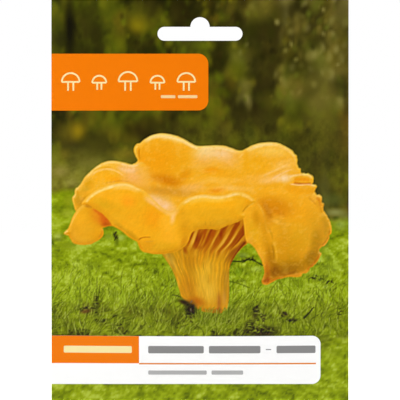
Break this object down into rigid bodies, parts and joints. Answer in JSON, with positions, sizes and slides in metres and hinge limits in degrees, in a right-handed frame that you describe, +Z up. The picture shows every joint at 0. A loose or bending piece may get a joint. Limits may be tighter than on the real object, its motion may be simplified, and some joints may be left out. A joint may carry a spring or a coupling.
{
  "type": "mushroom spawn packet",
  "caption": "Flat heat-sealed retail packet that hangs by a euro slot, with a chanterelle mushroom pictured on its front and loose dried spawn sealed inside.",
  "frame": {"origin": "crown of the hang slot's round hump, where the peg bears, in the plane where the two films are sealed", "axes": "+Z up the packet, +X to the right as its front is read, the printed front faces -Y"},
  "size_m": [0.111, 0.0066, 0.15],
  "materials": {
    "front_film": "satin printed laminate film, full-colour picture",
    "back_film": "satin printed laminate film, cream with a coloured band",
    "spawn": "loose dried granules with pale threads"
  },
  "bodies": {
    "root": {"front_film": "front_film", "back_film": "back_film", "spawn_fill": "spawn"}
  },
  "joints": []
}
